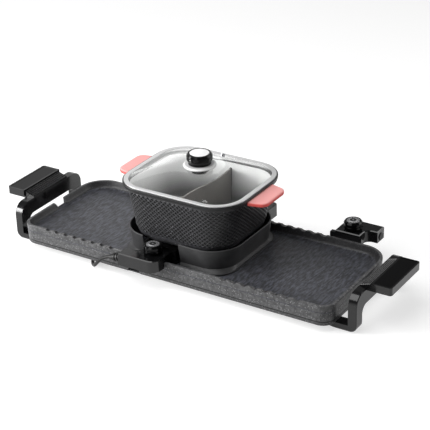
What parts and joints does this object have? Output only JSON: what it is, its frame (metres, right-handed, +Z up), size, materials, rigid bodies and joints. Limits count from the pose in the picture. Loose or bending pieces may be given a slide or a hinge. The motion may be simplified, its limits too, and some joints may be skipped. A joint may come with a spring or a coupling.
{
  "type": "electric hot pot grill",
  "caption": "Long tabletop electric grill tray with a heated collar, a lift-out divided hot pot with a domed glass lid, two dial controls and end handles.",
  "frame": {"origin": "on the table, in the middle of the appliance's overall box without its mains lead", "axes": "+X along the tray to its right end, +Y to the back, away from the front control, +Z up"},
  "size_m": [0.832, 0.3832, 0.2236],
  "materials": {
    "stone_coat": "die-cast, stone-look non-stick coating with pale flecks",
    "stone_coat_pot": "die-cast, hammered facets, dark non-stick coating with fine flecks",
    "pan_paint": "pressed steel, stoved charcoal paint",
    "black_plastic": "moulded phenolic, satin black",
    "gloss_plastic": "moulded, polished black",
    "dial_metal": "spun and anodised, concentric lines",
    "lid_steel": "bright stainless band",
    "screw_steel": "zinc-plated steel",
    "element_steel": "heat-darkened tubular element",
    "bare_aluminium": "die-cast, bare",
    "lid_glass": "clear tempered glass",
    "pink_silicone": "moulded silicone, matt pink",
    "black_rubber": "black rubber and flexible PVC",
    "brass_pins": "nickel-plated brass"
  },
  "bodies": {
    "base": {"grill_tray": "stone_coat", "base_pan": "pan_paint", "pot_collar": "black_plastic", "socket_housing": "black_plastic", "rear_housing": "black_plastic", "back_socket": "black_plastic", "front_control_base": "black_plastic", "back_control_base": "black_plastic", "front_control_cover": "black_plastic", "back_control_cover": "black_plastic", "left_handle_frame": "black_plastic", "right_handle_frame": "black_plastic", "left_handle_grip": "black_plastic", "right_handle_grip": "black_plastic", "front_thermostat": "black_plastic", "back_thermostat": "black_plastic", "left_grip_inlay": "gloss_plastic", "right_grip_inlay": "gloss_plastic", "base_screws": "screw_steel", "collar_screws": "screw_steel", "left_handle_screws": "screw_steel", "right_handle_screws": "screw_steel", "front_control_screws": "screw_steel", "back_control_screws": "screw_steel", "front_sensor_probe": "screw_steel", "back_sensor_probe": "screw_steel", "heater_clips": "screw_steel", "thermal_cutout": "screw_steel", "reflector_dish": "screw_steel", "left_grill_heater": "element_steel", "right_grill_heater": "element_steel", "pot_heater": "element_steel", "heating_plate": "bare_aluminium", "foot_pads": "black_rubber", "strain_relief": "black_rubber", "cord_lead": "black_rubber", "cord_coil": "black_rubber", "cord_tail": "black_rubber", "back_grommet": "black_rubber", "mains_plug": "black_rubber", "plug_pins": "brass_pins"},
    "front_dial": {"front_knob": "gloss_plastic", "front_dial_plate": "dial_metal", "front_knob_shaft": "screw_steel"},
    "back_dial": {"back_knob": "gloss_plastic", "back_dial_plate": "dial_metal", "back_knob_shaft": "screw_steel"},
    "pot": {"pot_shell": "stone_coat_pot", "left_ear_sleeve": "pink_silicone", "right_ear_sleeve": "pink_silicone"},
    "lid": {"lid_glass": "lid_glass", "lid_rim": "lid_steel", "lid_knob": "gloss_plastic", "lid_knob_cap": "dial_metal", "lid_knob_base": "dial_metal", "lid_knob_boss": "black_plastic", "lid_knob_screw": "screw_steel", "vent_eyelet": "dial_metal"}
  },
  "joints": [
    {"name": "front_dial_turn", "type": "hinge", "parent": "base", "child": "front_dial", "pos_m": [-0.03, -0.12925, 0.066], "axis": [0, 0, -1], "range_deg": [0, 270]},
    {"name": "back_dial_turn", "type": "hinge", "parent": "base", "child": "back_dial", "pos_m": [0.24, 0.12925, 0.066], "axis": [0, 0, -1], "range_deg": [0, 270]},
    {"name": "pot_lift", "type": "slide", "parent": "base", "child": "pot", "axis": [0, 0, 1], "range_m": [0, 0.12]},
    {"name": "lid_lift", "type": "slide", "parent": "pot", "child": "lid", "axis": [0, 0, 1], "range_m": [0, 0.1]}
  ]
}
